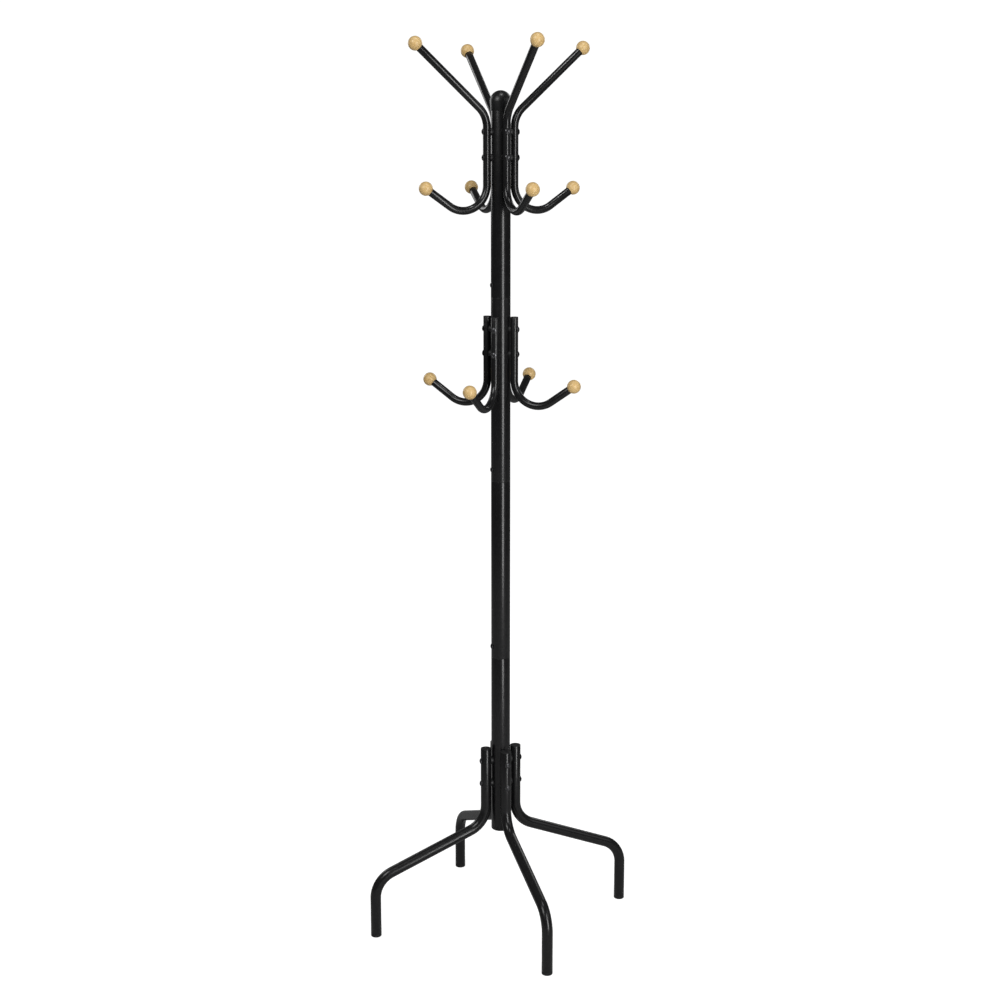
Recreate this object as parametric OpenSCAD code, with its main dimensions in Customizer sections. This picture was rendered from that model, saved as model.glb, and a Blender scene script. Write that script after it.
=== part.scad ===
// Standing coat rack: a screwed four-piece pole on four bent legs, with four double-ended
// hooks at the top, four single hooks below them, and a wooden ball on every hook tip.
// Millimetres, +Z up. The origin is on the floor, on the pole's axis.

/* [Pole] */
// Outer diameter of the pole
pole_d = 38; // [36:0.5:40]
// Wall of the pole tubes
pole_wall = 1.2; // [1:0.1:1.5]
// Length of each of the four pole tubes
section_l = 361; // [350:1:380]
// Height of the pole's lower end above the floor
pole_base_z = 201; // [196:1:230]
// Height of each joint screw above its seam
joint_screw_up = 24; // [20:1:35]

/* [Hooks] */
// Outer diameter of the hook tubes
hook_d = 15; // [14:0.5:16]
// Wall of the hook tubes
hook_wall = 1.2; // [1:0.1:1.5]
// Centreline radius of the hook bends
hook_bend_r = 48; // [46:1:52]
// Height of the lower screws of the upper hooks
upper_hook_z = 1548.5; // [1540:0.5:1556]
// Height of the lower screws of the lower hooks
lower_hook_z = 1175.2; // [1165:0.1:1185]
// How far the hook's bottom bend starts below the lower screw
hook_drop = 51; // [40:1:60]
// Rise of the hook's lower tip above horizontal, in degrees
tip_rise = 34.7; // [30:0.1:40]
// Straight part of the lower tip, up to the ball's centre
tip_l = 58.4; // [50:0.1:65]
// Rise of the upper arm above horizontal, in degrees
arm_rise = 42; // [38:1:46]
// Straight part of the upper arm, up to the ball's centre
arm_l = 169.7; // [150:0.1:180]
// How far the upper arm's bend starts above the lower screw
arm_bend_up = 56.5; // [56:0.5:60]
// How far the top of a lower hook stands above its lower screw
short_end_up = 72.3; // [68:0.1:76]
// Turn of the lower hooks about the pole, in degrees
lower_hook_turn = 45; // [40:1:50]

/* [Balls] */
// Diameter of the wooden balls
ball_d = 26.5; // [24:0.5:28]
// How far the tube's end stops short of the ball's centre
ball_seat = 1; // [0:0.5:4]

/* [Legs] */
// Outer diameter of the leg tubes
leg_d = 21.5; // [20:0.5:22]
// Wall of the leg tubes
leg_wall = 1.4; // [1.2:0.1:1.6]
// Centreline radius of the leg bends
leg_bend_r = 54; // [50:1:58]
// Distance of each foot's centre from the pole's axis
leg_reach = 268; // [250:1:290]
// Slope of the leg's middle run below horizontal, in degrees
leg_slope = 21.5; // [20:0.1:23]
// Height at which the upper leg bend starts
leg_bend_z = 249; // [245:1:255]
// Height of the legs' lower screws
leg_screw_z = 297; // [292:1:302]
// Height of the legs' upper ends
leg_top_z = 372; // [368:1:376]
// Turn of the legs about the pole, in degrees
leg_turn = -3; // [-5:0.5:5]

/* [Fasteners] */
// Thread diameter of every screw
screw_d = 6; // [5:1:6]
// Diameter of the button heads
head_d = 11.4; // [10:0.2:12]
// Height of the button heads
head_h = 2.8; // [2.4:0.1:3.2]
// Distance between the two screws of a hook or a leg
screw_pitch = 48; // [46:1:50]
// Gap that the saddle spacers keep between pole and tube
spacer_gap = 2; // [1.5:0.25:3]
// Diameter of the hooks' spacers
hook_spacer_d = 14; // [13:0.5:14.5]
// Diameter of the legs' spacers
leg_spacer_d = 16; // [15:0.5:18]

/* [Hidden] */
$fn = 64;
arms = 4;
arm_numbers = [1 : arms];
sections = 4;        // tubes that make up the pole
seam_numbers = [1 : sections - 1];
eps = 0.01;
fit = 0.05;          // radial clearance of a piece seated in another
hole_play = 0.2;     // radial clearance of a screw in its hole
edge = 0.5;          // chamfer on tube ends and small caps
lap = 0.5;           // how far a straight bar runs on into a bend
bend_draw = 0.15;    // how much a bar's radius shrinks where it is bent
open_end = 1;        // how far a bore is cut past a tube's end

pole_r = pole_d / 2;
bore_r = pole_r - pole_wall;
pole_top_z = pole_base_z + sections * section_l;
hook_r = hook_d / 2;
leg_r = leg_d / 2;
hook_axis_r = pole_r + spacer_gap + hook_r;
leg_axis_r = pole_r + spacer_gap + leg_r;

sleeve_wall = 1.5;
sleeve_up = 45;      // sleeve above the seam
sleeve_down = 45;    // sleeve below the seam
sleeve_r = bore_r - fit;
seams = [for (i = seam_numbers) pole_base_z + i * section_l];

arm_turn = 90 - arm_rise;
tip_turn = 90 + tip_rise;
leg_bend = 90 - leg_slope;
leg_run = (leg_reach - leg_axis_r - 2 * leg_bend_r * (1 - cos(leg_bend))) / cos(leg_slope);
foot_straight = leg_bend_z - 2 * leg_bend_r * sin(leg_bend) - leg_run * sin(leg_slope);

plug_head = 1.6;     // visible thickness of the plugs in hook and leg tops
foot_head = 7;       // visible height of the foot caps
foot_edge = 2;       // rounding of their lower edge
plug_l = 14;         // depth of a plug inside its tube
plug_wall = 1.5;
base_plug_head = 6;  // visible height of the plug in the pole's lower end
base_edge = 3;       // rounding of its lower edge
base_plug_l = 18;

cap_r = 21;          // widest radius of the pole's top cap
cap_lip_r = 19.9;
cap_lip_down = 10;   // cap's lip below the pole's top
cap_wide_up = 7;     // cap's widest level above the pole's top
cap_shell = 2.2;
cap_spigot_l = 14;

thread_r = screw_d / 2;
hole_r = thread_r + hole_play;
shank_r = thread_r - fit;
screw_tip_r = 9;     // screw tips' distance from the pole's axis
head_rim = 0.6;
hex_across = 4;
hex_deep = 1.6;
insert_r = 4.5;      // body of a threaded insert
insert_flange_r = 6;
insert_flange_h = 0.8;
insert_bulb_r = 5.6;
insert_bulb_h = 3.2;
insert_tip_r = 7.8;  // inserts' inner ends, from the pole's axis
nut_across = 10;
nut_h = 5;

hook_black = [0.06, 0.06, 0.065];
pole_black = [0.05, 0.05, 0.055];
plastic_black = [0.09, 0.09, 0.09];
screw_black = [0.12, 0.12, 0.13];
wood_tan = [0.86, 0.69, 0.42];
steel_grey = [0.55, 0.56, 0.58];

tiers = ["top", "mid", "low"];
section_names = ["pole_base", "pole_lower", "pole_upper", "pole_top"];

// ---- shared shapes ----

// Turns its children to the direction of arm i of a ring of four, turned by turn.
module at_arm(i, turn = 0) {
    rotate([0, 0, 90 * (i - 1) + turn]) children();
}

// A copy of its children for each of the four arms, at both screw heights above z.
module at_screws(z, turn = 0) {
    for (i = arm_numbers)
        at_arm(i, turn)
            for (up = [0, screw_pitch])
                translate([0, 0, z + up]) children();
}

// Lays a part drawn along +Z so that it points away from the pole along +X.
module radial(r = 0) {
    translate([r, 0, 0]) rotate([0, 90, 0]) children();
}

// Cross-section of a tube.
module ring(r, wall) {
    difference() {
        circle(r = r);
        circle(r = r - wall);
    }
}

// Straight bar along +Z. It runs on by lap into the bend at each end that has one.
module bar(l, r, before = lap, after = lap) {
    translate([0, 0, -before]) cylinder(h = l + before + after, r = r);
}

// Bend of a bar from +Z towards +X, with its children drawn onwards from its end.
module bend(turn, bend_r, r) {
    translate([bend_r, 0, 0])
        rotate([90, 0, 0])
            rotate([0, 0, 180 - turn])
                rotate_extrude(angle = turn)
                    translate([bend_r, 0]) circle(r = r - bend_draw);
    translate([bend_r, 0, 0])
        rotate([0, turn, 0])
            translate([-bend_r, 0, 0]) children();
}

// The two screw holes through a hook or a leg, level with the lower one.
module screw_holes(depth_r) {
    for (up = [0, screw_pitch])
        translate([0, 0, up]) radial(-depth_r) cylinder(h = 2 * depth_r, r = hole_r);
}

// Solid round plug head with a chamfered top edge, standing on its tube's end.
module plug_top(r, h) {
    rotate_extrude()
        polygon([[0, 0], [r, 0], [r, h - edge], [r - edge, h], [0, h]]);
}

// Hollow plug stem that hangs down inside a tube.
module plug_stem(r, l) {
    translate([0, 0, -l])
        rotate_extrude()
            polygon([[r - plug_wall, 0], [r - edge, 0], [r, edge], [r, l + eps], [r - plug_wall, l + eps]]);
}

// Button-head screw along +Z, its head's underside at z = 0 and its shank below.
module button_screw(shank_l) {
    dome_h = head_h - head_rim;
    dome_r = (pow(head_d / 2, 2) + pow(dome_h, 2)) / (2 * dome_h);
    difference() {
        union() {
            intersection() {
                cylinder(h = head_h, d = head_d);
                translate([0, 0, head_h - dome_r]) sphere(r = dome_r);
            }
            translate([0, 0, -shank_l]) cylinder(h = shank_l + eps, r = shank_r);
        }
        translate([0, 0, head_h - hex_deep])
            cylinder(h = hex_deep + 1, d = hex_across / cos(30), $fn = 6);
    }
}

// Spacer with a saddle on each side, between the pole and a tube of radius tube_r.
module saddle_spacer(d, tube_r) {
    tube_axis_r = pole_r + spacer_gap + tube_r;
    inner_r = pole_r - 1.6;
    outer_r = pole_r + spacer_gap + 2.4;
    difference() {
        radial(inner_r) cylinder(h = outer_r - inner_r, d = d);
        translate([0, 0, -d]) cylinder(h = 2 * d, r = pole_r);
        translate([tube_axis_r, 0, -d]) cylinder(h = 2 * d, r = tube_r);
        radial(inner_r) cylinder(h = outer_r - inner_r, r = hole_r);
        radial(inner_r)
            cylinder(h = pole_r + insert_flange_h + fit - inner_r, r = insert_flange_r + fit);
    }
}

// Threaded insert set in the pole's wall, its flange outside and its bulb inside.
module threaded_insert() {
    difference() {
        union() {
            radial(insert_tip_r) cylinder(h = pole_r - insert_tip_r, r = insert_r);
            radial(bore_r - 1.3 - insert_bulb_h) cylinder(h = insert_bulb_h, r = insert_bulb_r);
            difference() {
                radial(bore_r) cylinder(h = pole_wall + insert_flange_h, r = insert_flange_r);
                translate([0, 0, -insert_flange_r - 1])
                    cylinder(h = 2 * insert_flange_r + 2, r = pole_r);
            }
        }
        radial(insert_tip_r - 1) cylinder(h = pole_r, r = thread_r);
    }
}

// ---- pole ----

// Holes for the inserts of a set of arms, cut in the pole's wall.
module insert_holes(z, turn = 0) {
    at_screws(z, turn) radial(bore_r - 1) cylinder(h = pole_wall + 2, r = insert_r + fit);
}

// One pole tube, counted from the floor, with chamfered ends.
module pole_section(i) {
    z0 = pole_base_z + i * section_l;
    color(pole_black)
        difference() {
            translate([0, 0, z0])
                rotate_extrude()
                    polygon([
                        [bore_r, 0], [pole_r - edge, 0], [pole_r, edge],
                        [pole_r, section_l - edge], [pole_r - edge, section_l], [bore_r, section_l]
                    ]);
            if (i == 0) insert_holes(leg_screw_z, leg_turn);
            if (i == 2) insert_holes(lower_hook_z, lower_hook_turn);
            if (i == 3) insert_holes(upper_hook_z);
            if (i > 0)
                translate([0, 0, z0 + joint_screw_up]) joint_hole();
        }
}

// Hole for a joint screw, on the side opposite arm 1.
module joint_hole() {
    rotate([0, 0, 180]) radial(bore_r - sleeve_wall - 1)
        cylinder(h = pole_wall + sleeve_wall + 2, r = hole_r);
}

// Inner sleeve that joins two pole tubes at a seam.
module joint_sleeve(i) {
    color(steel_grey)
        difference() {
            translate([0, 0, seams[i - 1] - sleeve_down])
                linear_extrude(sleeve_down + sleeve_up) ring(sleeve_r, sleeve_wall);
            translate([0, 0, seams[i - 1] + joint_screw_up]) joint_hole();
        }
}

// Domed push-on cap at the pole's top, with a lip outside and a spigot inside the tube.
module pole_cap() {
    color(plastic_black)
        translate([0, 0, pole_top_z])
            rotate_extrude()
                difference() {
                    union() {
                        intersection() {
                            translate([0, cap_wide_up]) circle(r = cap_r);
                            translate([0, cap_wide_up]) square(cap_r);
                        }
                        polygon([
                            [0, -cap_lip_down], [cap_lip_r, -cap_lip_down],
                            [cap_r, cap_wide_up], [0, cap_wide_up]
                        ]);
                    }
                    translate([0, cap_wide_up])
                        intersection() {
                            circle(r = cap_r - cap_shell);
                            square(cap_r);
                        }
                    translate([0, -cap_lip_down - 1])
                        square([pole_r + fit, cap_lip_down + 1]);
                    translate([0, -1]) square([bore_r - fit - plug_wall, cap_wide_up + 2]);
                }
    color(plastic_black)
        translate([0, 0, pole_top_z]) plug_stem(bore_r - fit, cap_spigot_l);
}

// Plug that closes the pole's lower end.
module pole_plug() {
    color(plastic_black)
        translate([0, 0, pole_base_z])
            mirror([0, 0, 1]) {
                rotate_extrude() rounded_head(pole_r, base_plug_head, base_edge);
                plug_stem(bore_r - fit, base_plug_l);
            }
}

// Profile of a disc of radius r and height h whose far edge is rounded.
module rounded_head(r, h, round_r) {
    square([r - round_r, h]);
    square([r, h - round_r]);
    translate([r - round_r, h - round_r]) circle(r = round_r);
}

// ---- hooks ----

// Bend and rising tip at the lower end of a hook, down from its lower screw.
module hook_tip_bar(r, past) {
    mirror([0, 0, 1])
        translate([0, 0, hook_drop])
            bend(tip_turn, hook_bend_r, r) bar(tip_l - ball_seat, r, after = past);
}

// Solid form of an upper hook of radius r, from the hook tip to the end of the rising arm.
module upper_hook_bar(r, past) {
    hook_tip_bar(r, past);
    translate([0, 0, -hook_drop]) bar(hook_drop + arm_bend_up, r);
    translate([0, 0, arm_bend_up])
        bend(arm_turn, hook_bend_r, r) bar(arm_l - ball_seat, r, after = past);
}

// Solid form of a lower hook of radius r, from the hook tip to the plugged top end.
module lower_hook_bar(r, past) {
    hook_tip_bar(r, past);
    translate([0, 0, -hook_drop])
        bar(hook_drop + short_end_up - plug_head, r, after = past);
}

// Double-ended hook: a rising arm at the top and a hook tip at the bottom.
module upper_hook(i) {
    color(hook_black)
        at_arm(i)
            translate([hook_axis_r, 0, upper_hook_z])
                difference() {
                    upper_hook_bar(hook_r, 0);
                    upper_hook_bar(hook_r - hook_wall, open_end);
                    screw_holes(hook_r + 1);
                }
}

// Single hook: a plugged straight top end and a hook tip at the bottom.
module lower_hook(i) {
    color(hook_black)
        at_arm(i, lower_hook_turn)
            translate([hook_axis_r, 0, lower_hook_z])
                difference() {
                    lower_hook_bar(hook_r, 0);
                    lower_hook_bar(hook_r - hook_wall, open_end);
                    screw_holes(hook_r + 1);
                }
}

module lower_hook_plug(i) {
    color(plastic_black)
        at_arm(i, lower_hook_turn)
            translate([hook_axis_r, 0, lower_hook_z + short_end_up - plug_head])
                tube_plug(hook_r, hook_wall, plug_head);
}

// Plug with a head as wide as its tube and a stem inside it.
module tube_plug(r, wall, head) {
    plug_top(r, head);
    plug_stem(r - wall - fit, plug_l);
}

// ---- balls ----

// Wooden ball, bored for a tube that reaches it along +Z.
module ball() {
    bore_l = ball_d;
    difference() {
        sphere(d = ball_d, $fn = 96);
        translate([0, 0, -bore_l]) cylinder(h = bore_l - ball_seat + fit, r = hook_r + fit);
    }
}

// Ball at the end of a hook tip whose lower screw is at z.
module tip_ball(z) {
    translate([hook_axis_r + hook_bend_r, 0, z - hook_drop])
        rotate([0, -tip_turn, 0])
            translate([-hook_bend_r, 0, -tip_l])
                mirror([0, 0, 1]) ball();
}

// Ball at the end of an upper arm.
module arm_ball() {
    translate([hook_axis_r + hook_bend_r, 0, upper_hook_z + arm_bend_up])
        rotate([0, arm_turn, 0])
            translate([-hook_bend_r, 0, arm_l]) ball();
}

// ---- legs ----

// Solid form of a leg of radius r, drawn from its top end: down the pole, out along the
// slope, and down to the foot.
module leg_bar(r, past) {
    top_straight = leg_top_z - plug_head - leg_bend_z;
    mirror([0, 0, 1]) {
        bar(top_straight, r, before = past);
        translate([0, 0, top_straight])
            bend(leg_bend, leg_bend_r, r) {
                bar(leg_run, r);
                translate([0, 0, leg_run])
                    mirror([1, 0, 0])
                        bend(leg_bend, leg_bend_r, r)
                            bar(foot_straight - foot_head, r, after = past);
            }
    }
}

module leg(i) {
    color(hook_black)
        at_arm(i, leg_turn)
            translate([leg_axis_r, 0, 0])
                difference() {
                    translate([0, 0, leg_top_z - plug_head]) leg_bar(leg_r, 0);
                    translate([0, 0, leg_top_z - plug_head])
                        leg_bar(leg_r - leg_wall, open_end);
                    translate([0, 0, leg_screw_z]) screw_holes(leg_r + 1);
                }
}

module leg_plug(i) {
    color(plastic_black)
        at_arm(i, leg_turn)
            translate([leg_axis_r, 0, leg_top_z - plug_head])
                tube_plug(leg_r, leg_wall, plug_head);
}

// Foot cap: a glide as wide as the leg, with a stem inside it. It stands on the floor.
module foot_cap(i) {
    color(plastic_black)
        at_arm(i, leg_turn)
            translate([leg_reach, 0, foot_head])
                mirror([0, 0, 1]) {
                    rotate_extrude() rounded_head(leg_r, foot_head, foot_edge);
                    plug_stem(leg_r - leg_wall - fit, plug_l);
                }
}

// ---- fasteners ----

module hook_spacers(z, turn) {
    color(plastic_black) at_screws(z, turn) saddle_spacer(hook_spacer_d, hook_r);
}

module leg_spacers() {
    color(plastic_black) at_screws(leg_screw_z, leg_turn) saddle_spacer(leg_spacer_d, leg_r);
}

// Screws of one ring of hooks or legs whose tubes have radius tube_r.
module arm_screws(z, turn, tube_r) {
    head_r = pole_r + spacer_gap + 2 * tube_r;
    color(screw_black)
        at_screws(z, turn) radial(head_r) button_screw(head_r - screw_tip_r);
}

module joint_screws() {
    color(screw_black)
        for (z = seams)
            translate([0, 0, z + joint_screw_up])
                rotate([0, 0, 180]) radial(pole_r) button_screw(pole_r - screw_tip_r);
}

module arm_inserts(z, turn) {
    color(steel_grey) at_screws(z, turn) threaded_insert();
}

// Hexagon nuts on the inner walls of the joint sleeves.
module joint_nuts() {
    nut_corner_r = nut_across / 2 / cos(30);
    nut_face_r = sqrt(pow(sleeve_r - sleeve_wall, 2) - pow(nut_corner_r, 2)) - fit;
    color(steel_grey)
        for (z = seams)
            translate([0, 0, z + joint_screw_up])
                rotate([0, 0, 180])
                    radial(nut_face_r - nut_h)
                        difference() {
                            cylinder(h = nut_h, r = nut_corner_r, $fn = 6);
                            translate([0, 0, -1]) cylinder(h = nut_h + 2, r = thread_r);
                        }
}

// ---- what each node draws ----

for (i = [0 : sections - 1])
    pole_section(i);

for (i = seam_numbers)
    joint_sleeve(i);

pole_cap();
pole_plug();

for (i = arm_numbers) {
    upper_hook(i);
    lower_hook(i);
    leg(i);
    color(wood_tan) at_arm(i) arm_ball();
    color(wood_tan) at_arm(i) tip_ball(upper_hook_z);
    color(wood_tan) at_arm(i, lower_hook_turn) tip_ball(lower_hook_z);
    lower_hook_plug(i);
    leg_plug(i);
    foot_cap(i);
}

hook_spacers(upper_hook_z, 0);  // upper_hook_spacers
hook_spacers(lower_hook_z, lower_hook_turn);  // lower_hook_spacers
leg_spacers();
arm_screws(upper_hook_z, 0, hook_r);  // upper_hook_screws
arm_screws(lower_hook_z, lower_hook_turn, hook_r);  // lower_hook_screws
arm_screws(leg_screw_z, leg_turn, leg_r);  // leg_screws
joint_screws();
arm_inserts(upper_hook_z, 0);  // upper_hook_inserts
arm_inserts(lower_hook_z, lower_hook_turn);  // lower_hook_inserts
arm_inserts(leg_screw_z, leg_turn);  // leg_inserts
joint_nuts();
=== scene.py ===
"""A standing coat rack in a plain studio: black powder-coated tubes and lacquered wooden balls.

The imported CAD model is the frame. Every part that shows is rebuilt here as a finer mesh in the
same place, with rounded edges, and the sleeves, inserts and nuts inside the pole stay as they are.
Lengths are in metres; MM turns the millimetres of the named sizes into metres.
"""
import math
import random

import bmesh
import bpy
from mathutils import Matrix, Vector


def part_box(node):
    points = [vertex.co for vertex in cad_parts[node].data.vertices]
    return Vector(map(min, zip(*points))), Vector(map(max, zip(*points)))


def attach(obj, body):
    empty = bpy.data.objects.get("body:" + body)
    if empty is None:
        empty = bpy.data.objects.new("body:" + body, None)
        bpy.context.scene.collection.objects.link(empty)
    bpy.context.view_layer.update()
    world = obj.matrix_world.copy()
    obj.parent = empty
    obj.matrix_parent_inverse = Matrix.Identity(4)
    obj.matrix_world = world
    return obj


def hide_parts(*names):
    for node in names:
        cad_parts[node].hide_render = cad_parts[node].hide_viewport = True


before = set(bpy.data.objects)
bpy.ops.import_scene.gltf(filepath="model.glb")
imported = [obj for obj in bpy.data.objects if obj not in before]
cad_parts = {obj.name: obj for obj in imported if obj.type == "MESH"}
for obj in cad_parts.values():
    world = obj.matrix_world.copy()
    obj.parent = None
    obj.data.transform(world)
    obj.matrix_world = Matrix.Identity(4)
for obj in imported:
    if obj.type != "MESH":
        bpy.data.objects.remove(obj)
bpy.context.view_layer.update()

MM = 0.001
ARMS = (1, 2, 3, 4)
FINE = 96  # steps round the pole, its cap and the balls
FINE_SCREW = 48  # steps round a screw or a spacer
ROUND = 64  # steps round a bent tube or a plug
SHARP_FROM = math.radians(40)  # faces that meet at more than this keep a sharp edge
PATCH_REACH = 3  # how far a piece's texture may be moved, so that no two pieces look alike

# Sizes of the CAD model, in metres.
EDGE = 0.4 * MM
TUBE_EDGE = 0.25 * MM  # rounding of a bent tube's ends
SCREW_EDGE = 0.12 * MM
FIT = 0.05 * MM
POLE_BORE_R = 17.8 * MM
HOOK_R = 7.5 * MM
HOOK_WALL = 1.2 * MM
HOOK_BEND_R = 48 * MM
HOOK_DROP = 51 * MM
TIP_RISE = math.radians(34.7)
TIP_L = 58.4 * MM
ARM_RISE = math.radians(42)
ARM_L = 169.7 * MM
ARM_BEND_UP = 56.5 * MM
LOWER_HOOK_TURN = math.radians(45)
BALL_R = 13.25 * MM
BALL_SEAT = 1 * MM
LEG_R = 10.75 * MM
LEG_WALL = 1.4 * MM
LEG_BEND_R = 54 * MM
LEG_SLOPE = math.radians(21.5)
LEG_BEND_Z = 249 * MM
LEG_REACH = 268 * MM
LEG_TURN = math.radians(-3)
SPACER_GAP = 2 * MM
SPACER_WRAP = 2.4 * MM
SPACER_IN = 1.6 * MM
HOOK_SPACER_R = 7 * MM
LEG_SPACER_R = 8 * MM
SCREW_HOLE_R = 3.2 * MM
SCREW_PITCH = 48 * MM
SCREW_TIP_R = 9 * MM
SHANK_R = 2.95 * MM
HEAD_R = 5.7 * MM
HEAD_H = 2.8 * MM
HEAD_RIM = 0.6 * MM
HEX_R = 2 * MM  # from the middle of the hex socket to the middle of one of its sides
HEX_DEEP = 1.6 * MM
SOCKET_CHAMFER = 0.7 * MM  # width of the slope round the hex socket
CAP_LIP_R = 19.9 * MM
CAP_R = 21 * MM
CAP_SHELL = 2.2 * MM
CAP_WIDE_UP = 7 * MM
CAP_LIP_DOWN = 10 * MM
CAP_SPIGOT_L = 14 * MM
BASE_ROUND = 3 * MM
FOOT_ROUND = 2 * MM
PLUG_WALL = 1.5 * MM
PLUG_L = 14 * MM
BASE_PLUG_L = 18 * MM
JOINT_SCREW_UP = 69 * MM  # from the lower end of a joint sleeve

# Places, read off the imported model.
pole_low, pole_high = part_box("pole_top")
POLE_R = (pole_high[0] - pole_low[0]) / 2
POLE_TOP_Z = pole_high[2]
POLE_BASE_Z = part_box("pole_base")[0][2]
UPPER_SCREW_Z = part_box("upper_hook_screws")[0][2] + HEAD_R
LOWER_SCREW_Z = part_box("lower_hook_screws")[0][2] + HEAD_R
LEG_SCREW_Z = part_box("leg_screws")[0][2] + HEAD_R
JOINT_SCREW_Z = [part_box(f"joint_sleeve_{i}")[0][2] + JOINT_SCREW_UP for i in (1, 2, 3)]
LEG_TUBE_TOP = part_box("leg_1")[1][2]
LEG_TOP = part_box("leg_plug_1")[1][2]
LOWER_HOOK_TUBE_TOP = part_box("lower_hook_1")[1][2]
LOWER_HOOK_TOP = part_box("lower_hook_plug_1")[1][2]
FOOT_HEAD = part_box("leg_1")[0][2]
HOOK_AXIS_R = POLE_R + SPACER_GAP + HOOK_R
LEG_AXIS_R = POLE_R + SPACER_GAP + LEG_R

dice = random.Random(41)


# ---- materials ----


def srgb(red, green, blue):
    """A colour given as 0-255 screen values, as the linear colour that a shader takes."""

    def linear(c):
        c /= 255
        return c / 12.92 if c <= 0.04045 else ((c + 0.055) / 1.055) ** 2.4

    return (linear(red), linear(green), linear(blue), 1.0)


class Nodes:
    """A new material's node tree, with short ways to add and join nodes."""

    def __init__(self, name):
        self.material = bpy.data.materials.new(name)
        self.material.use_nodes = True
        self.tree = self.material.node_tree
        self.shader = self.tree.nodes["Principled BSDF"]

    def add(self, kind, settings=None, **sockets):
        node = self.tree.nodes.new(kind)
        for key, value in (settings or {}).items():
            setattr(node, key, value)
        for key, value in sockets.items():
            self.feed(node.inputs[key.replace("_", " ")], value)
        return node

    def feed(self, socket, value):
        if isinstance(value, bpy.types.NodeSocket):
            self.tree.links.new(value, socket)
        else:
            socket.default_value = value

    def place(self, stretch=(1, 1, 1)):
        """The place on a piece that its mesh carries, stretched."""
        at = self.add("ShaderNodeAttribute", {"attribute_name": "surface_at"})
        return self.add("ShaderNodeMapping", Vector=at.outputs["Vector"], Scale=stretch).outputs[0]

    def noise(self, at, scale, detail=2.0, rough=0.5, warp=0.0):
        node = self.add(
            "ShaderNodeTexNoise", Vector=at, Scale=scale, Detail=detail, Roughness=rough, Distortion=warp
        )
        return node.outputs["Fac"]

    def spread(self, value, low, high, out_low, out_high):
        """value, taken from the range low to high to the range out_low to out_high."""
        node = self.add("ShaderNodeMapRange", Value=value)
        names = ("From Min", "From Max", "To Min", "To Max")
        for name, number in zip(names, (low, high, out_low, out_high)):
            node.inputs[name].default_value = number
        return node.outputs[0]

    def mix(self, factor, a, b):
        node = self.add("ShaderNodeMix", {"data_type": "RGBA"})
        self.feed(node.inputs["Factor"], factor)
        for socket, colour in zip([s for s in node.inputs if s.type == "RGBA"], (a, b)):
            self.feed(socket, colour)
        return next(s for s in node.outputs if s.type == "RGBA")

    def total(self, a, b, operation="ADD"):
        node = self.add("ShaderNodeMath", {"operation": operation})
        self.feed(node.inputs[0], a)
        self.feed(node.inputs[1], b)
        return node.outputs[0]

    def bump(self, height, depth, strength=1.0):
        node = self.add("ShaderNodeBump", Height=height, Distance=depth, Strength=strength)
        self.feed(self.shader.inputs["Normal"], node.outputs[0])

    def set(self, **sockets):
        for key, value in sockets.items():
            self.feed(self.shader.inputs[key.replace("_", " ")], value)


def powder_coat():
    """Semi-gloss black powder coat: a fine orange peel, faint mottling and a little dust."""
    n = Nodes("black powder coat")
    peel = n.noise(n.place(), 620, detail=3)
    grit = n.noise(n.place(), 2600, detail=1)
    cloud = n.noise(n.place(), 70, detail=4, rough=0.6)
    specks = n.spread(n.noise(n.place(), 3400, detail=0), 0.76, 0.84, 0, 0.5)
    black = n.mix(n.spread(cloud, 0.3, 0.7, 0, 1), srgb(16, 16, 17), srgb(20, 20, 21))
    n.set(Base_Color=n.mix(specks, black, srgb(60, 60, 61)))
    gloss = n.spread(cloud, 0.3, 0.7, 0.225, 0.26)
    n.set(Roughness=n.total(gloss, n.spread(grit, 0.3, 0.7, -0.02, 0.03)))
    n.set(Specular_IOR_Level=0.44)
    n.bump(n.total(peel, n.total(grit, 0.2, "MULTIPLY")), 0.003 * MM, 0.5)
    return n.material


def moulded_cap():
    """Glossy moulded plastic of the pole's top cap, with faint flow marks and hairline wear."""
    n = Nodes("glossy black plastic")
    flow = n.noise(n.place((1, 1, 0.25)), 70, detail=3, warp=0.6)
    hair = n.noise(n.place((0.06, 1, 1)), 2100, detail=2)
    worn = n.spread(hair, 0.62, 0.72, 0, 0.05)
    n.set(Base_Color=n.mix(n.spread(flow, 0.3, 0.7, 0, 1), srgb(16, 16, 17), srgb(21, 21, 22)))
    n.set(Roughness=n.total(n.spread(flow, 0.3, 0.7, 0.31, 0.37), worn))
    n.set(Specular_IOR_Level=0.5)
    n.bump(n.total(flow, n.total(hair, 0.06, "MULTIPLY")), 0.02 * MM, 0.4)
    return n.material


def moulded_plastic():
    """Satin moulded plastic of the plugs, spacers and foot caps, with a fine spark-eroded grain."""
    n = Nodes("satin black plastic")
    grain = n.noise(n.place(), 1900, detail=2, rough=0.6)
    flow = n.noise(n.place(), 90, detail=3)
    scuff = n.spread(n.noise(n.place((1, 1, 0.2)), 520, detail=4), 0.6, 0.75, 0, 0.35)
    black = n.mix(n.spread(flow, 0.3, 0.7, 0, 1), srgb(19, 19, 20), srgb(25, 25, 26))
    n.set(Base_Color=n.mix(scuff, black, srgb(40, 40, 41)))
    n.set(Roughness=n.spread(grain, 0.3, 0.7, 0.40, 0.52))
    n.set(Specular_IOR_Level=0.4)
    n.bump(grain, 0.008 * MM, 0.6)
    return n.material


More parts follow.
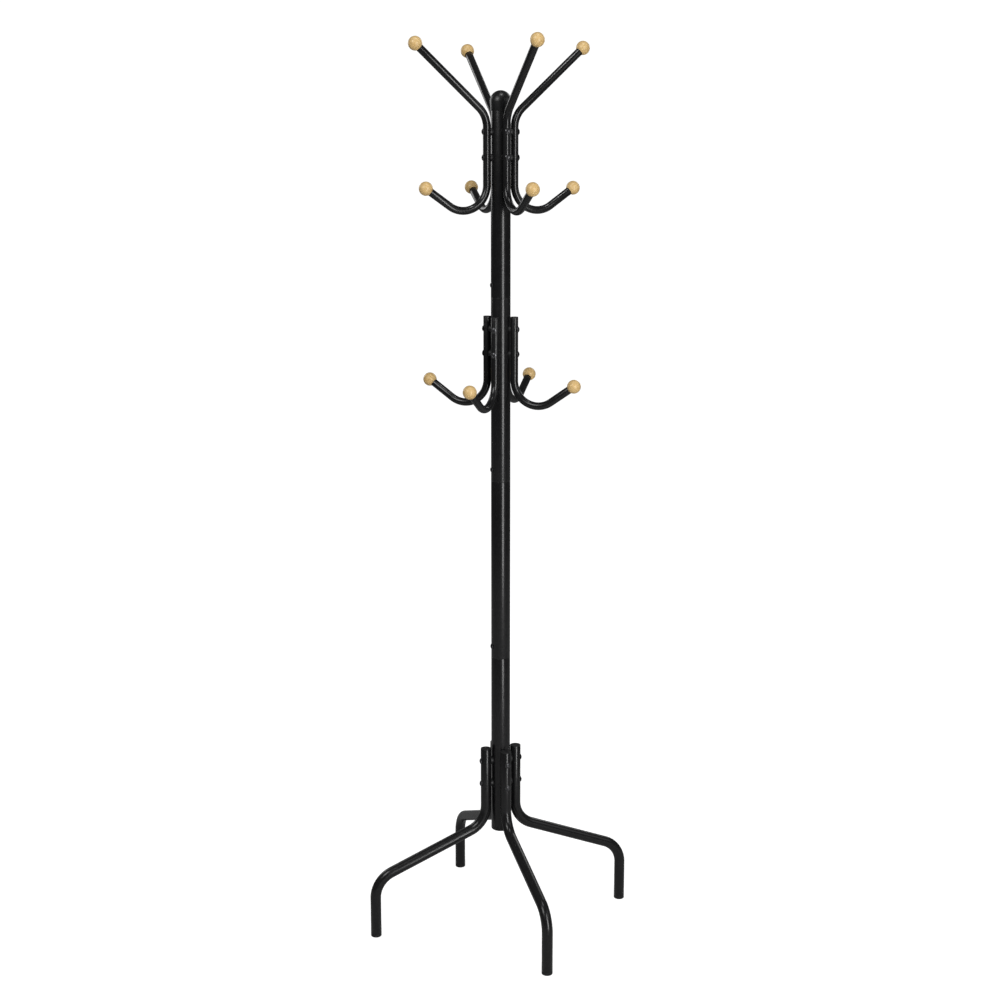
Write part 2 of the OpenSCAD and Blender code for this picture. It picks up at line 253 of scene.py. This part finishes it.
def black_screw():
    """Blackened steel of the screw heads, with turning marks and a trace of bright metal."""
    n = Nodes("blackened screw steel")
    turned = n.noise(n.place((1, 0.2, 0.2)), 5200, detail=2)
    patch = n.noise(n.place(), 900, detail=3)
    bright = n.spread(patch, 0.60, 0.74, 0, 0.6)
    n.set(Base_Color=n.mix(bright, srgb(84, 84, 86), srgb(140, 140, 142)))
    n.set(Metallic=0.9)
    worn = n.spread(patch, 0.3, 0.7, 0.20, 0.30)
    n.set(Roughness=n.total(worn, n.spread(turned, 0.3, 0.7, 0, 0.06)))
    n.bump(turned, 0.02 * MM, 0.5)
    return n.material


def zinc_steel():
    """Zinc-plated steel of the sleeves, inserts and nuts, with the plating's grey clouds."""
    n = Nodes("zinc-plated steel")
    at = n.add("ShaderNodeTexCoord").outputs["Object"]
    cloud = n.noise(at, 160, detail=4, warp=0.4)
    spangle = n.add("ShaderNodeTexVoronoi", Vector=at, Scale=420).outputs["Distance"]
    n.set(Base_Color=n.mix(n.spread(cloud, 0.3, 0.7, 0, 1), srgb(150, 152, 156), srgb(196, 198, 200)))
    n.set(Metallic=1.0)
    n.set(Roughness=n.spread(cloud, 0.3, 0.7, 0.28, 0.42))
    n.bump(spangle, 0.02 * MM, 0.3)
    return n.material


def turned_wood():
    """Pale turned wood under a satin lacquer: soft growth rings, fine grain and small flecks."""
    n = Nodes("turned beech")
    along = n.place((1, 1, 0.16))
    warp = n.noise(along, 90, detail=2)
    rings = n.add(
        "ShaderNodeTexWave",
        {"wave_type": "BANDS", "bands_direction": "X"},
        Vector=along, Scale=62, Distortion=5.5, Detail=2.0, Detail_Scale=1.4,
    ).outputs["Fac"]
    grain = n.noise(n.place((1, 1, 0.09)), 800, detail=3, rough=0.55)
    fleck = n.noise(n.place((1, 1, 0.12)), 1700, detail=1)
    pale = n.mix(n.spread(warp, 0.3, 0.7, 0, 1), srgb(229, 198, 139), srgb(221, 186, 124))
    ringed = n.mix(n.total(rings, 0.26, "MULTIPLY"), pale, srgb(203, 161, 99))
    grained = n.mix(n.spread(grain, 0.35, 0.72, 0, 0.20), ringed, srgb(190, 147, 88))
    n.set(Base_Color=n.mix(n.spread(fleck, 0.70, 0.80, 0, 0.30), grained, srgb(172, 126, 72)))
    n.set(Roughness=n.spread(grain, 0.3, 0.7, 0.36, 0.48))
    n.set(Specular_IOR_Level=0.42)
    n.set(Coat_Weight=0.22)
    n.set(Coat_Roughness=0.26)
    n.bump(n.total(grain, n.total(fleck, 0.5, "MULTIPLY")), 0.008 * MM, 0.5)
    return n.material


def studio_floor():
    """Pale matt floor with a painted glow, seen only by the camera, that runs it into the white background;
    the glow is weaker near the rack, so the floor is painted darker round it.
    """
    n = Nodes("pale studio floor")
    at = n.add("ShaderNodeTexCoord").outputs["Object"]
    n.set(Base_Color=n.mix(n.noise(at, 1.5, detail=3), srgb(184, 184, 184), srgb(190, 190, 190)))
    n.set(Roughness=0.9)
    n.set(Specular_IOR_Level=0.1)
    away = n.add("ShaderNodeVectorMath", {"operation": "LENGTH"})
    n.tree.links.new(at, away.inputs[0])
    # painted glow: the floor emits light for camera rays, 0.84 within 0.3 m of the middle rising to 1.0 from
    # 2.4 m out, a painted shade round the rack
    painted_glow = n.spread(away.outputs["Value"], 0.3, 2.4, 0.84, 1.0)
    seen = n.add("ShaderNodeLightPath").outputs["Is Camera Ray"]
    n.set(Emission_Color=(1, 1, 1, 1))
    n.set(Emission_Strength=n.total(painted_glow, seen, "MULTIPLY"))
    return n.material


COAT = powder_coat()
GLOSS = moulded_cap()
PLASTIC = moulded_plastic()
SCREW = black_screw()
ZINC = zinc_steel()
WOOD = turned_wood()


# ---- meshes ----


def arc(centre, radius, start, end, steps):
    """Points (across, up) on an arc, from angle start to end in degrees from +across towards +up."""
    angles = [math.radians(start + (end - start) * i / steps) for i in range(steps + 1)]
    return [(centre[0] + radius * math.cos(a), centre[1] + radius * math.sin(a)) for a in angles]


def loft(bm, rings, closed=False):
    """Joins rings of the same number of vertices by faces; closed joins the last to the first."""
    pairs = list(zip(rings, rings[1:]))
    if closed:
        pairs.append((rings[-1], rings[0]))
    for a, b in pairs:
        count = len(a)
        for i in range(count):
            j = (i + 1) % count
            corners = list(dict.fromkeys((a[i], a[j], b[j], b[i])))
            if len(corners) > 2:
                bm.faces.new(corners)


def lathe(bm, outline, steps, at=Matrix.Identity(4)):
    """Turns a closed outline of (radius, height) points about Z. A point on the axis is one vertex."""
    rings = []
    for radius, height in outline:
        if radius < 1e-7:
            rings.append([bm.verts.new(at @ Vector((0, 0, height)))] * steps)
            continue
        turns = [2 * math.pi * i / steps for i in range(steps)]
        rings.append(
            [bm.verts.new(at @ Vector((radius * math.cos(t), radius * math.sin(t), height))) for t in turns]
        )
    loft(bm, rings, closed=outline[0][0] >= 1e-7 or outline[-1][0] >= 1e-7)


class Route:
    """Axis of a bent tube in the plane of its arm: straights and bends, in (out, up)."""

    def __init__(self, out, up, heading):
        self.points = [(out, up, heading)]

    def straight(self, length):
        out, up, heading = self.points[-1]
        self.points.append((out + length * math.cos(heading), up + length * math.sin(heading), heading))
        return self

    def bend(self, turn, radius):
        """Turns by that angle, anticlockwise if it is above zero."""
        out, up, heading = self.points[-1]
        side = math.copysign(1, turn)
        middle_out = out - side * radius * math.sin(heading)
        middle_up = up + side * radius * math.cos(heading)
        steps = max(8, round(abs(math.degrees(turn)) / 2.5))
        for i in range(1, steps + 1):
            now = heading + turn * i / steps
            self.points.append(
                (middle_out + side * radius * math.sin(now), middle_up - side * radius * math.cos(now), now)
            )
        return self

    def end(self):
        """Where the route ends, and its direction there, in the arm's frame."""
        out, up, heading = self.points[-1]
        return Vector((out, 0, up)), Vector((math.cos(heading), 0, math.sin(heading)))


def tube(route, radius, wall):
    """A tube along a route, hollow and open at its ends, their edges rounded."""
    bm = bmesh.new()

    def ring(point, r, shift=0.0):
        out, up, heading = point
        along = Vector((math.cos(heading), 0, math.sin(heading)))
        across = Vector((-math.sin(heading), 0, math.cos(heading)))
        middle = Vector((out, 0, up)) + along * shift
        turns = [2 * math.pi * i / ROUND for i in range(ROUND)]
        side = Vector((0, -1, 0))
        return [
            bm.verts.new(middle + (across * math.cos(t) + side * math.sin(t)) * r) for t in turns
        ]

    first, last = route.points[0], route.points[-1]
    soft = TUBE_EDGE
    outer = [ring(first, radius - soft)]
    outer += [ring(first, radius - 0.3 * soft, 0.3 * soft), ring(first, radius, soft)]
    outer += [ring(p, radius) for p in route.points[1:-1]]
    outer += [ring(last, radius, -soft), ring(last, radius - 0.3 * soft, -0.3 * soft)]
    outer += [ring(last, radius - soft)]
    inner = [ring(p, radius - wall) for p in reversed(route.points)]
    loft(bm, outer + inner, closed=True)
    return bm


def ball(bore_r):
    """A turned ball bored from below for its tube, the bore's mouth slightly rounded."""
    bm = bmesh.new()
    mouth = math.degrees(math.acos((bore_r + EDGE) / BALL_R))
    outline = arc((0, 0), BALL_R, 90, -mouth, 44)
    lip = outline[-1]
    outline += [(bore_r + 0.3 * EDGE, lip[1] + 0.25 * EDGE), (bore_r, lip[1] + EDGE)]
    outline += [(bore_r, -BALL_SEAT + FIT), (0, -BALL_SEAT + FIT)]
    outline[0] = (0, BALL_R)
    lathe(bm, outline, FINE)
    return bm


def pole_section(low, high):
    """One tube of the pole, its outer edges rounded where it meets the next."""
    bm = bmesh.new()
    outline = [(POLE_BORE_R, low), (POLE_R - EDGE, low)]
    outline += arc((POLE_R - EDGE, low + EDGE), EDGE, -90, 0, 4)[1:]
    outline += arc((POLE_R - EDGE, high - EDGE), EDGE, 0, 90, 4)
    outline += [(POLE_BORE_R, high)]
    lathe(bm, outline, FINE)
    return bm


def pole_cap(low):
    """Domed cap: a lip outside the pole, a hemisphere above and a spigot inside. low is the lip's."""
    bm = bmesh.new()
    wide = POLE_TOP_Z + CAP_WIDE_UP
    spigot_r = POLE_BORE_R - FIT
    outline = arc((0, wide), CAP_R, 90, 0, 40)
    outline[0] = (0, wide + CAP_R)
    outline += arc((CAP_LIP_R - EDGE, low + EDGE), EDGE, 0, -90, 4)
    outline += [(POLE_R + FIT, low), (POLE_R + FIT, POLE_TOP_Z), (spigot_r, POLE_TOP_Z)]
    outline += [(spigot_r, POLE_TOP_Z - CAP_SPIGOT_L), (spigot_r - PLUG_WALL, POLE_TOP_Z - CAP_SPIGOT_L)]
    outline += [(spigot_r - PLUG_WALL, wide)]
    outline += arc((0, wide), CAP_R - CAP_SHELL, 0, 90, 20)
    outline[-1] = (0, wide + CAP_R - CAP_SHELL)
    lathe(bm, outline, FINE)
    return bm


def plug(radius, stem_r, head, edge, stem_l):
    """Plug for a tube's end: a head with a rounded far edge, standing on the end, and a hollow stem."""
    bm = bmesh.new()
    outline = [(0, head), ((radius - edge) / 2, head)]
    outline += arc((radius - edge, head - edge), edge, 90, 0, 8)
    outline += [(radius, 0), (stem_r, 0), (stem_r, -stem_l), (stem_r - PLUG_WALL, -stem_l)]
    outline += [(stem_r - PLUG_WALL, 0), (0, 0)]
    lathe(bm, outline, ROUND)
    return bm


def hexagon(turn):
    """Distance from the middle of a hexagon to its edge at that angle, for a side at distance 1."""
    return 1 / math.cos((turn + math.pi / 6) % (math.pi / 3) - math.pi / 6)


def add_screw(bm, at, shank_l):
    """Button-head screw along +Z of at, with a rim, a dome and a hex socket."""
    dome_h = HEAD_H - HEAD_RIM
    dome_r = (HEAD_R**2 + dome_h**2) / (2 * dome_h)

    def dome(radius):
        return HEAD_H - dome_r + math.sqrt(dome_r**2 - radius**2)

    socket_r = HEX_R + SOCKET_CHAMFER
    soft = SCREW_EDGE
    turns = [2 * math.pi * i / FINE_SCREW for i in range(FINE_SCREW)]

    def ring(reach, height):
        return [
            bm.verts.new(at @ Vector((reach(t) * math.cos(t), reach(t) * math.sin(t), height))) for t in turns
        ]

    def circle(radius, height):
        return ring(lambda t: radius, height)

    rings = [[bm.verts.new(at @ Vector((0, 0, -shank_l)))] * FINE_SCREW]
    rings += [circle(SHANK_R - 5 * soft, -shank_l), circle(SHANK_R, 5 * soft - shank_l), circle(SHANK_R, 0)]
    rings += [circle(HEAD_R - soft, 0), circle(HEAD_R, soft), circle(HEAD_R, HEAD_RIM)]
    for share in (0.97, 0.9, 0.8, 0.7, 0.6):
        rings.append(circle(HEAD_R * share, dome(HEAD_R * share)))
    rings += [circle(socket_r, dome(socket_r)), circle(socket_r - soft, dome(socket_r) - soft)]
    rings += [ring(lambda t: HEX_R * hexagon(t) + soft, dome(socket_r) - 2 * soft)]
    rings += [ring(lambda t: HEX_R * hexagon(t), dome(socket_r) - 4 * soft)]
    rings += [ring(lambda t: HEX_R * hexagon(t), HEAD_H - HEX_DEEP)]
    rings += [[bm.verts.new(at @ Vector((0, 0, HEAD_H - HEX_DEEP - 2 * soft)))] * FINE_SCREW]
    loft(bm, rings)


def add_spacer(bm, at, radius, tube_r):
    """Disc between the pole and a tube, hollowed to sit on both, along +X of at."""
    axis_r = POLE_R + SPACER_GAP + tube_r
    turns = [2 * math.pi * i / FINE_SCREW for i in range(FINE_SCREW)]

    def inside(across):
        return max(math.sqrt(POLE_R**2 - across**2), POLE_R - SPACER_IN)

    def outside(across):
        reach = POLE_R + SPACER_GAP + SPACER_WRAP
        return min(axis_r - math.sqrt(max(tube_r**2 - across**2, 0)), reach)

    def ring(r, face, inset=0.0):
        points = []
        for t in turns:
            across, up = r * math.cos(t), r * math.sin(t)
            points.append(bm.verts.new(at @ Vector((face(across) + inset, across, up))))
        return points

    radii = [SCREW_HOLE_R + (radius - EDGE - SCREW_HOLE_R) * i / 5 for i in range(6)]
    rings = [ring(r, inside) for r in radii]
    rings += [ring(radius - 0.3 * EDGE, inside, 0.3 * EDGE), ring(radius, inside, EDGE)]
    rings += [ring(radius, outside, -EDGE), ring(radius - 0.3 * EDGE, outside, -0.3 * EDGE)]
    rings += [ring(r, outside) for r in reversed(radii)]
    loft(bm, rings, closed=True)


# ---- pieces ----


def piece(name, bm, at, nodes, material):
    """Makes a mesh into a piece that stands for CAD nodes: smooth faces, its own patch of texture."""
    bmesh.ops.recalc_face_normals(bm, faces=bm.faces)
    mesh = bpy.data.meshes.new(name)
    bm.to_mesh(mesh)
    bm.free()
    mesh.shade_smooth()
    mesh.set_sharp_from_angle(angle=SHARP_FROM)
    patch = Vector([dice.uniform(-PATCH_REACH, PATCH_REACH) for _ in range(3)])
    places = mesh.attributes.new("surface_at", "FLOAT_VECTOR", "POINT")
    for vertex, place in zip(mesh.vertices, places.data):
        place.vector = vertex.co + patch
    mesh.transform(at)
    mesh.materials.append(material)
    made = bpy.data.objects.new(name, mesh)
    bpy.context.scene.collection.objects.link(made)
    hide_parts(*nodes)
    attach(made, "root")
    return made


def facing(arm, turn=0.0):
    """Turns an arm's own frame, whose +X points away from the pole, to its place in the ring."""
    return Matrix.Rotation(math.radians(90 * (arm - 1)) + turn, 4, "Z")


def aimed(point, direction, spin=0.0):
    """A frame at point whose +Z is direction."""
    return (
        Matrix.Translation(point)
        @ direction.to_track_quat("Z", "Y").to_matrix().to_4x4()
        @ Matrix.Rotation(spin, 4, "Z")
    )


def hook_tip(route):
    """The bend and the rising tip at a hook's lower end, onto a route that heads down."""
    return route.bend(math.pi / 2 + TIP_RISE, HOOK_BEND_R).straight(TIP_L - BALL_SEAT)


def tip_route(screw_z):
    """Route of a hook tip from its lower screw down."""
    return hook_tip(Route(HOOK_AXIS_R, screw_z, -math.pi / 2).straight(HOOK_DROP))


def rise_route():
    """Route of an upper hook's arm from its lower screw up."""
    rising = Route(HOOK_AXIS_R, UPPER_SCREW_Z, math.pi / 2).straight(ARM_BEND_UP)
    return rising.bend(ARM_RISE - math.pi / 2, HOOK_BEND_R).straight(ARM_L - BALL_SEAT)


def upper_hook_route():
    """Route of a whole upper hook, from the end of its arm down to the end of its tip."""
    rising, falling = rise_route(), tip_route(UPPER_SCREW_Z)
    whole = Route(0, 0, 0)
    whole.points = [(out, up, heading - math.pi) for out, up, heading in reversed(rising.points)]
    whole.points += falling.points[1:]
    return whole


def lower_hook_route():
    """Route of a lower hook, from its closed top down to the end of its tip."""
    top = Route(HOOK_AXIS_R, LOWER_HOOK_TUBE_TOP, -math.pi / 2)
    return hook_tip(top.straight(LOWER_HOOK_TUBE_TOP - LOWER_SCREW_Z + HOOK_DROP))


def leg_route():
    """Route of a leg: down the pole, out along its slope, and down to the foot."""
    turn = math.pi / 2 - LEG_SLOPE
    run = LEG_REACH - LEG_AXIS_R - 2 * LEG_BEND_R * (1 - math.cos(turn))
    route = Route(LEG_AXIS_R, LEG_TUBE_TOP, -math.pi / 2).straight(LEG_TUBE_TOP - LEG_BEND_Z)
    route.bend(turn, LEG_BEND_R).straight(run / math.cos(LEG_SLOPE)).bend(-turn, LEG_BEND_R)
    return route.straight(route.points[-1][1] - FOOT_HEAD)


def build_pole():
    for node in ("pole_base", "pole_lower", "pole_upper", "pole_top"):
        low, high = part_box(node)
        mesh = pole_section(low[2], high[2])
        piece(f"{node}_tube", mesh, Matrix.Identity(4), [node], COAT)
    cap = pole_cap(POLE_TOP_Z - CAP_LIP_DOWN)
    piece("pole_dome_cap", cap, Matrix.Identity(4), ["pole_cap"], GLOSS)
    head = POLE_BASE_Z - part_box("pole_plug")[0][2]
    base = plug(POLE_R, POLE_BORE_R - FIT, head, BASE_ROUND, BASE_PLUG_L)
    under = Matrix.Translation((0, 0, POLE_BASE_Z)) @ Matrix.Rotation(math.pi, 4, "X")
    piece("pole_base_plug", base, under, ["pole_plug"], PLASTIC)


def build_ball(node, route, arm, turn):
    """A ball on the end of a route, its grain turned at random."""
    end, direction = route.end()
    at = facing(arm, turn) @ aimed(end + direction * BALL_SEAT, direction, dice.uniform(0, 2 * math.pi))
    piece(f"{node}_wood", ball(HOOK_R + FIT), at, [node], WOOD)


def build_hooks():
    for arm in ARMS:
        upper = tube(upper_hook_route(), HOOK_R, HOOK_WALL)
        piece(f"upper_hook_{arm}_tube", upper, facing(arm), [f"upper_hook_{arm}"], COAT)
        build_ball(f"ball_top_{arm}", rise_route(), arm, 0)
        build_ball(f"ball_mid_{arm}", tip_route(UPPER_SCREW_Z), arm, 0)
        lower = tube(lower_hook_route(), HOOK_R, HOOK_WALL)
        at = facing(arm, LOWER_HOOK_TURN)
        piece(f"lower_hook_{arm}_tube", lower, at, [f"lower_hook_{arm}"], COAT)
        build_ball(f"ball_low_{arm}", tip_route(LOWER_SCREW_Z), arm, LOWER_HOOK_TURN)
        head = LOWER_HOOK_TOP - LOWER_HOOK_TUBE_TOP
        top = plug(HOOK_R, HOOK_R - HOOK_WALL - FIT, head, EDGE, PLUG_L)
        at = at @ Matrix.Translation((HOOK_AXIS_R, 0, LOWER_HOOK_TUBE_TOP))
        piece(f"lower_hook_{arm}_plug", top, at, [f"lower_hook_plug_{arm}"], PLASTIC)


def build_legs():
    for arm in ARMS:
        at = facing(arm, LEG_TURN)
        leg = tube(leg_route(), LEG_R, LEG_WALL)
        piece(f"leg_{arm}_tube", leg, at, [f"leg_{arm}"], COAT)
        stem_r = LEG_R - LEG_WALL - FIT
        top = plug(LEG_R, stem_r, LEG_TOP - LEG_TUBE_TOP, EDGE, PLUG_L)
        above = at @ Matrix.Translation((LEG_AXIS_R, 0, LEG_TUBE_TOP))
        piece(f"leg_{arm}_plug", top, above, [f"leg_plug_{arm}"], PLASTIC)
        foot = plug(LEG_R, stem_r, FOOT_HEAD, FOOT_ROUND, PLUG_L)
        below = at @ Matrix.Translation((LEG_REACH, 0, FOOT_HEAD)) @ Matrix.Rotation(math.pi, 4, "X")
        piece(f"leg_{arm}_foot", foot, below, [f"foot_cap_{arm}"], PLASTIC)


def build_fixings(ring, screw_z, turn, tube_r, spacer_r):
    """Screws and spacers of one ring of hooks or legs."""
    screws, spacers = bmesh.new(), bmesh.new()
    outward = Vector((1, 0, 0))
    head_at = POLE_R + SPACER_GAP + 2 * tube_r
    for arm in ARMS:
        for height in (screw_z, screw_z + SCREW_PITCH):
            at = facing(arm, turn)
            spin = dice.uniform(0, math.pi / 3)
            add_screw(screws, at @ aimed(Vector((head_at, 0, height)), outward, spin), head_at - SCREW_TIP_R)
            add_spacer(spacers, at @ Matrix.Translation((0, 0, height)), spacer_r, tube_r)
    here = Matrix.Identity(4)
    piece(f"{ring}_button_screws", screws, here, [f"{ring}_screws"], SCREW)
    piece(f"{ring}_saddle_spacers", spacers, here, [f"{ring}_spacers"], PLASTIC)


def build_joint_screws():
    screws = bmesh.new()
    for height in JOINT_SCREW_Z:
        at = aimed(Vector((-POLE_R, 0, height)), Vector((-1, 0, 0)), dice.uniform(0, math.pi / 3))
        add_screw(screws, at, POLE_R - SCREW_TIP_R)
    piece("joint_button_screws", screws, Matrix.Identity(4), ["joint_screws"], SCREW)


def finish_inner_parts():
    """Zinc plating on the CAD nodes that stay: sleeves, inserts and nuts inside the pole."""
    for name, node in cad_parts.items():
        if "sleeve" in name or "insert" in name or "nut" in name:
            for place in node.material_slots:
                place.material = ZINC


# ---- studio ----

VIEW_AZIMUTH = math.radians(-22.6)
VIEW_DROP = math.radians(11.48)  # how far the camera looks down
VIEW_YAW = 0.00042  # how far it looks left of the pole, in radians
VIEW_DISTANCE = 3.2387
VIEW_HEIGHT = 1.5424
LENS_MM = 60.12
SENSOR_MM = 36
FLOOR_REACH = 40
WHITE, ROOM = 1.05, 0.11  # background as the camera sees it, and as it is reflected

# Lights: name, degrees round from the camera, distance, height, size, watts, height aimed at.
LIGHTS = (
    ("strip", 28, 2.6, 1.25, (0.50, 2.5), 46, 1.25),
    ("key", -38, 2.6, 3.0, (1.3, 1.3), 36, 1.2),
    ("top", 20, 0.5, 3.5, (0.4, 0.4), 9, 0.8),
    ("fill", 75, 3.2, 2.4, (1.6, 1.6), 7, 0.9),
    ("back_left", -135, 3.4, 2.2, (1.4, 1.8), 20, 1.1),
    ("back_right", 150, 3.4, 2.6, (1.0, 1.8), 16, 1.1),
)


def around(azimuth, distance, height):
    """A place round the rack. Azimuth 0 is on the -Y side and grows towards +X."""
    return Vector((distance * math.sin(azimuth), -distance * math.cos(azimuth), height))


def build_camera():
    data = bpy.data.cameras.new("camera")
    data.lens = LENS_MM
    data.sensor_width = SENSOR_MM
    data.clip_end = 100
    camera = bpy.data.objects.new("camera", data)
    bpy.context.scene.collection.objects.link(camera)
    camera.location = around(VIEW_AZIMUTH, VIEW_DISTANCE, VIEW_HEIGHT)
    camera.rotation_euler = (math.pi / 2 - VIEW_DROP, 0, VIEW_AZIMUTH + VIEW_YAW)
    bpy.context.scene.camera = camera


def softbox(name, azimuth, distance, height, size, power, aim):
    """A soft rectangular light that faces the pole's axis at the height aim."""
    data = bpy.data.lights.new(name, "AREA")
    data.shape = "RECTANGLE"
    data.size, data.size_y = size
    data.energy = power
    light = bpy.data.objects.new(name, data)
    light.location = around(azimuth, distance, height)
    light.rotation_euler = (Vector((0, 0, aim)) - light.location).to_track_quat("-Z", "Y").to_euler()
    bpy.context.scene.collection.objects.link(light)


def build_lights():
    for name, turn, distance, height, size, power, aim in LIGHTS:
        softbox(name, VIEW_AZIMUTH + math.radians(turn), distance, height, size, power, aim)


def build_floor():
    bm = bmesh.new()
    bmesh.ops.create_grid(bm, x_segments=4, y_segments=4, size=FLOOR_REACH)
    mesh = bpy.data.meshes.new("floor")
    bm.to_mesh(mesh)
    bm.free()
    mesh.materials.append(studio_floor())
    floor = bpy.data.objects.new("floor", mesh)
    bpy.context.scene.collection.objects.link(floor)


def build_background():
    """White behind the rack, and a dim room in its reflections."""
    world = bpy.data.worlds.new("studio")
    world.use_nodes = True
    tree = world.node_tree
    tree.nodes.clear()
    seen = tree.nodes.new("ShaderNodeLightPath")
    mix = tree.nodes.new("ShaderNodeMixShader")
    tree.links.new(seen.outputs["Is Camera Ray"], mix.inputs[0])
    for strength, socket in ((ROOM, mix.inputs[1]), (WHITE, mix.inputs[2])):
        light = tree.nodes.new("ShaderNodeBackground")
        light.inputs["Color"].default_value = (1, 1, 1, 1)
        light.inputs["Strength"].default_value = strength
        tree.links.new(light.outputs[0], socket)
    out = tree.nodes.new("ShaderNodeOutputWorld")
    tree.links.new(mix.outputs[0], out.inputs["Surface"])
    bpy.context.scene.world = world


build_camera()
build_pole()
build_hooks()
build_legs()
build_fixings("upper_hook", UPPER_SCREW_Z, 0, HOOK_R, HOOK_SPACER_R)
build_fixings("lower_hook", LOWER_SCREW_Z, LOWER_HOOK_TURN, HOOK_R, HOOK_SPACER_R)
build_fixings("leg", LEG_SCREW_Z, LEG_TURN, LEG_R, LEG_SPACER_R)
build_joint_screws()
finish_inner_parts()
build_lights()
build_floor()
build_background()
bpy.context.scene.view_settings.view_transform = "Standard"
